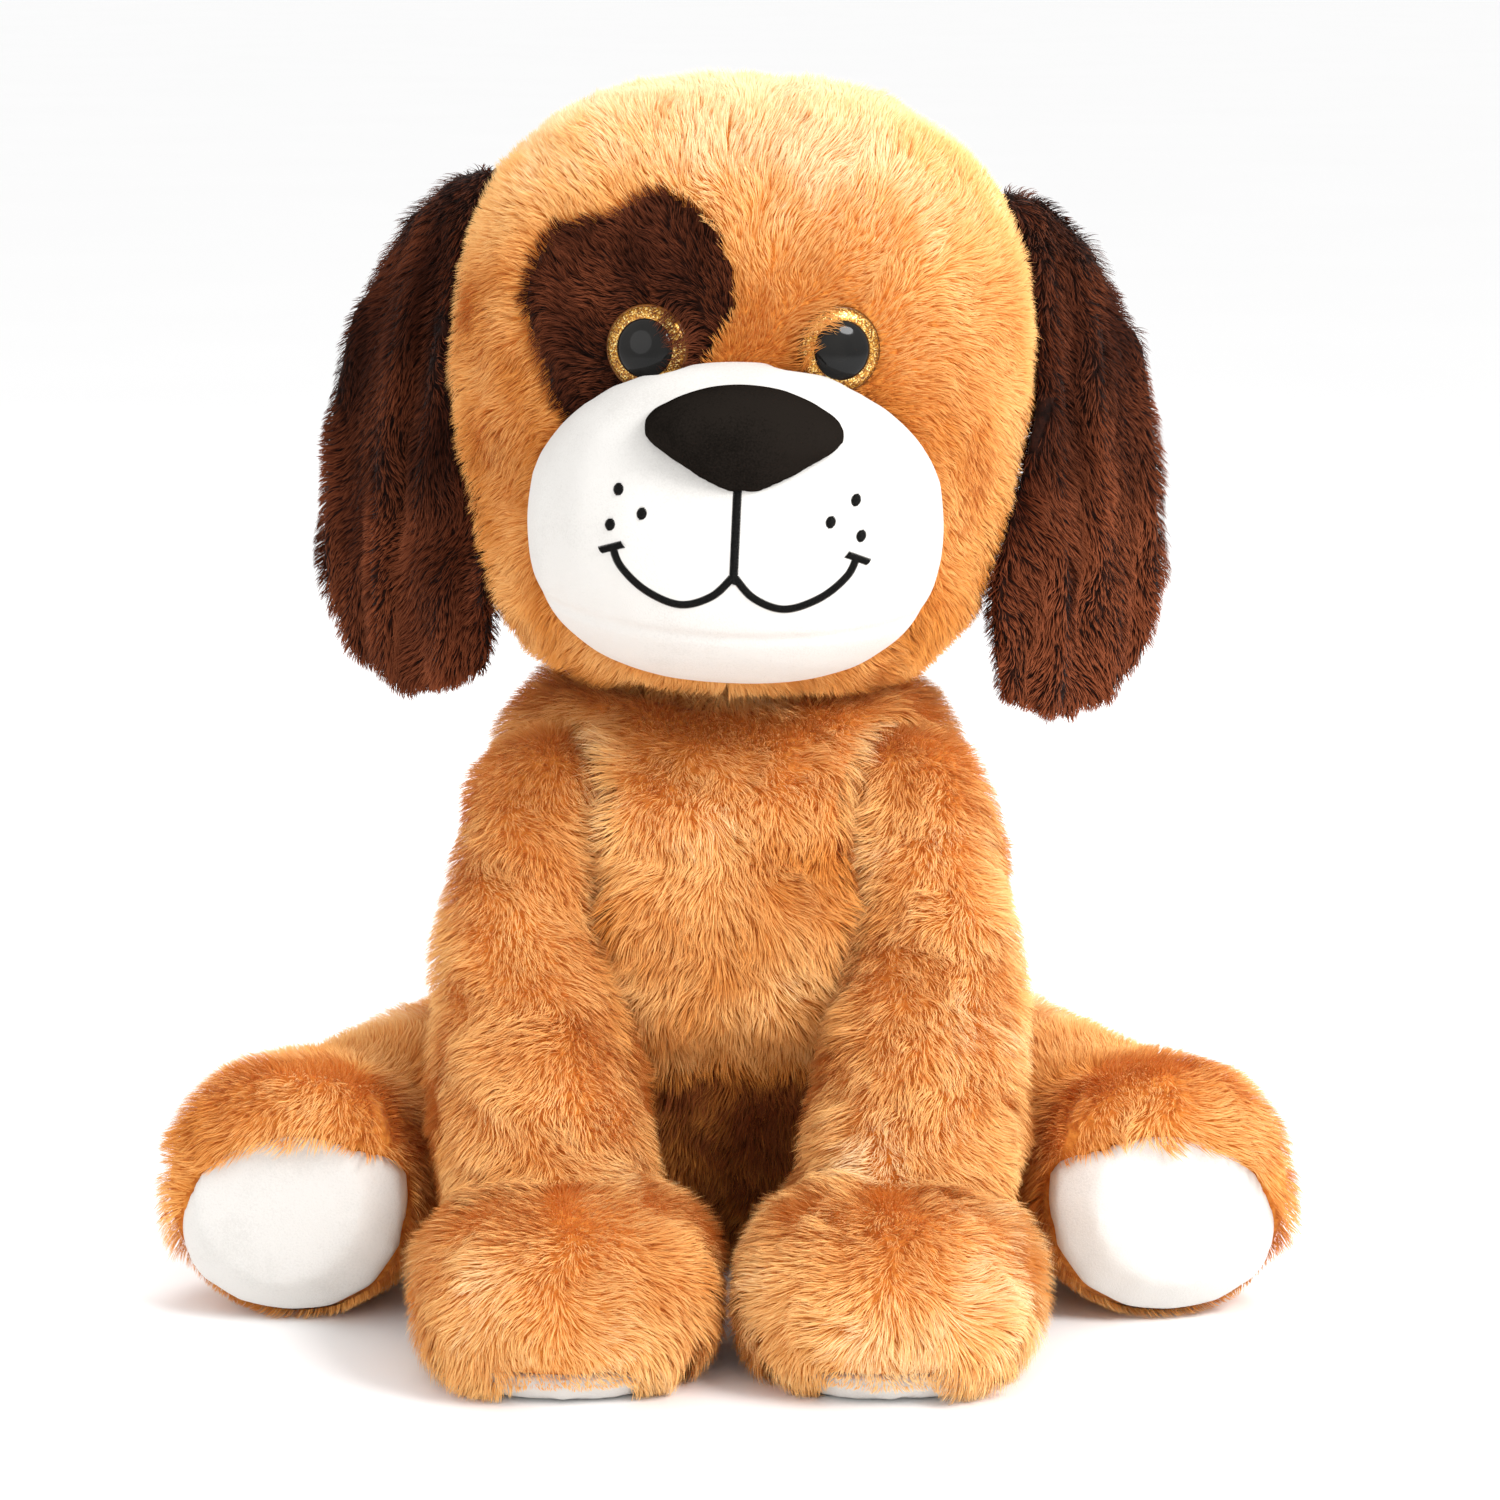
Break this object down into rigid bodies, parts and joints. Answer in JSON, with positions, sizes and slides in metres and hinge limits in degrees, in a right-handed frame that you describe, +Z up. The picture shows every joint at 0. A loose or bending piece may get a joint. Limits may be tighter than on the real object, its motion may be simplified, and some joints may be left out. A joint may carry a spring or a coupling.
{
  "type": "plush dog",
  "caption": "Seated stuffed toy puppy with floppy ears, a round white muzzle, a dark eye patch, white paw pads and soles, and thick soft pile over padded panels.",
  "frame": {"origin": "on the floor, on the flat seat panel, under the neck", "axes": "+Z up; the dog faces -Y; +X is the dog's own left side"},
  "size_m": [0.339, 0.2948, 0.3635],
  "materials": {
    "caramel_plush": "soft pile fur",
    "brown_plush": "soft pile fur",
    "white_velboa": "short pile",
    "black_velboa": "short pile",
    "black_thread": "satin stitch",
    "polyester_filling": "loose fibre",
    "label_ribbon": "woven ribbon",
    "glitter_iris": "gold glitter",
    "black_pupil": "gloss",
    "clear_dome": "clear gloss",
    "nylon": "moulded"
  },
  "bodies": {
    "torso": {"seat_panel": "caramel_plush", "belly_panel": "caramel_plush", "back_panel_left": "caramel_plush", "back_panel_right": "caramel_plush", "torso_stuffing": "polyester_filling", "care_label": "label_ribbon"},
    "neck": {"neck_cover": "caramel_plush", "neck_stuffing": "polyester_filling"},
    "head": {"head_cover": "caramel_plush", "eye_patch": "brown_plush", "head_stuffing": "polyester_filling", "muzzle_cover": "white_velboa", "muzzle_stuffing": "polyester_filling", "nose_cover": "black_velboa", "nose_stuffing": "polyester_filling", "mouth_stitching": "black_thread", "freckle_left_1": "black_thread", "freckle_left_2": "black_thread", "freckle_left_3": "black_thread", "freckle_right_1": "black_thread", "freckle_right_2": "black_thread", "freckle_right_3": "black_thread", "eye_left_dome": "clear_dome", "eye_left_pupil": "black_pupil", "eye_left_iris": "glitter_iris", "eye_left_shank": "nylon", "eye_left_washer": "nylon", "eye_right_dome": "clear_dome", "eye_right_pupil": "black_pupil", "eye_right_iris": "glitter_iris", "eye_right_shank": "nylon", "eye_right_washer": "nylon"},
    "ear_left": {"ear_left_outer": "brown_plush", "ear_left_lining": "brown_plush"},
    "ear_right": {"ear_right_outer": "brown_plush", "ear_right_lining": "brown_plush"},
    "front_leg_left": {"front_leg_left_cover": "caramel_plush", "front_leg_left_pad": "white_velboa", "front_leg_left_stuffing": "polyester_filling"},
    "front_leg_right": {"front_leg_right_cover": "caramel_plush", "front_leg_right_pad": "white_velboa", "front_leg_right_stuffing": "polyester_filling"},
    "hind_leg_left": {"hind_leg_left_cover": "caramel_plush", "hind_leg_left_sole": "white_velboa", "hind_leg_left_stuffing": "polyester_filling"},
    "hind_leg_right": {"hind_leg_right_cover": "caramel_plush", "hind_leg_right_sole": "white_velboa", "hind_leg_right_stuffing": "polyester_filling"},
    "tail": {"tail_cover": "caramel_plush", "tail_stuffing": "polyester_filling"}
  },
  "joints": [
    {"name": "head_turn", "type": "hinge", "parent": "torso", "child": "neck", "pos_m": [0, 0.004, 0.19], "axis": [0, 0, 1], "range_deg": [-25, 25], "stiffness_Nm_per_rad": 0.8},
    {"name": "head_nod", "type": "hinge", "parent": "neck", "child": "head", "pos_m": [0, 0.004, 0.19], "axis": [1, 0, 0], "range_deg": [-6, 6], "stiffness_Nm_per_rad": 4},
    {"name": "ear_left_lift", "type": "hinge", "parent": "head", "child": "ear_left", "pos_m": [0.0844, 0.002, 0.3293], "axis": [0, -1, 0], "range_deg": [0, 90]},
    {"name": "ear_right_lift", "type": "hinge", "parent": "head", "child": "ear_right", "pos_m": [-0.0714, 0.002, 0.3364], "axis": [0, 1, 0], "range_deg": [0, 90]},
    {"name": "front_leg_left_swing", "type": "hinge", "parent": "torso", "child": "front_leg_left", "pos_m": [0.054, -0.034, 0.147], "axis": [-1, 0, 0], "range_deg": [0, 50]},
    {"name": "front_leg_right_swing", "type": "hinge", "parent": "torso", "child": "front_leg_right", "pos_m": [-0.054, -0.034, 0.147], "axis": [-1, 0, 0], "range_deg": [0, 50]},
    {"name": "hind_leg_left_lift", "type": "hinge", "parent": "torso", "child": "hind_leg_left", "pos_m": [0.068, 0.014, 0.044], "axis": [-1, 0, 0], "range_deg": [0, 12]},
    {"name": "hind_leg_right_lift", "type": "hinge", "parent": "torso", "child": "hind_leg_right", "pos_m": [-0.068, 0.014, 0.044], "axis": [-1, 0, 0], "range_deg": [0, 12]},
    {"name": "tail_wag", "type": "hinge", "parent": "torso", "child": "tail", "pos_m": [0, 0.086, 0.038], "axis": [0, 0, 1], "range_deg": [-25, 25], "stiffness_Nm_per_rad": 0.02}
  ]
}
